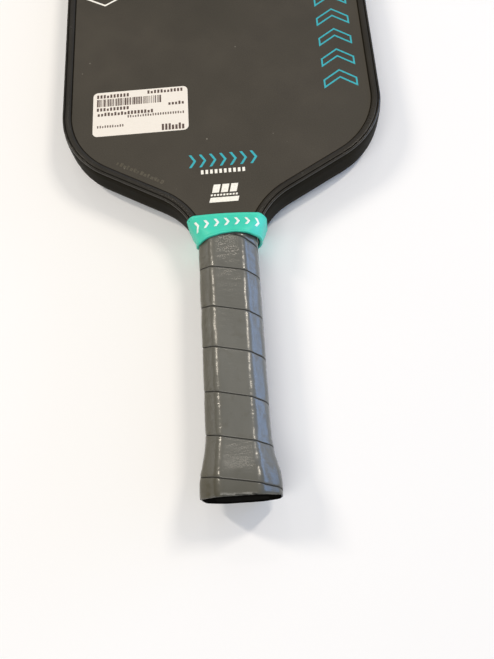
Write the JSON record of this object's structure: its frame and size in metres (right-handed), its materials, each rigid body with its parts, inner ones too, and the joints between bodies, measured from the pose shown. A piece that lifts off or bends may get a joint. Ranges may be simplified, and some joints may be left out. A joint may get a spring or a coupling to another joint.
{
  "type": "pickleball paddle",
  "caption": "Elongated pickleball paddle: flat dark face panel in a black edge guard, wrapped octagonal handle with a flared butt and a turquoise silicone collar at the neck.",
  "frame": {"origin": "centre of the flat butt end of the handle, on the panel's mid-plane", "axes": "+Y up the handle to the tip of the head, +Z out of the front hitting face, +X to the right seen from the front"},
  "size_m": [0.1904, 0.4189, 0.0364],
  "materials": {
    "core": "translucent natural polypropylene honeycomb",
    "foam": "cut closed-cell foam",
    "scrim": "thin bonded non-woven cloth",
    "face_sheet": "dark warm grey, fine peel-ply grit, matte",
    "adhesive_tape": "thin double-sided tape",
    "edge_guard": "black satin moulded plastic",
    "pallet": "moulded, satin",
    "cap_plastic": "black moulded plastic, fine grain",
    "staple_wire": "plain wire",
    "badge": "plain insert, no mark",
    "grip": "dark grey synthetic leather, satin, faint pores",
    "finishing_tape": "black vinyl tape",
    "collar": "turquoise silicone, smooth satin",
    "label": null
  },
  "bodies": {
    "root": {"honeycomb_core": "core", "perimeter_foam": "foam", "front_scrim": "scrim", "back_scrim": "scrim", "front_face": "face_sheet", "back_face": "face_sheet", "guard_tape": "adhesive_tape", "edge_guard": "edge_guard", "handle_pallet_front": "pallet", "handle_pallet_back": "pallet", "pallet_tape_front": "adhesive_tape", "pallet_tape_back": "adhesive_tape", "butt_cap": "cap_plastic", "butt_cap_staples": "staple_wire", "butt_badge": "badge", "grip_wrap": "grip", "finishing_tape": "finishing_tape", "neck_collar": "collar", "price_label": "label"}
  },
  "joints": []
}
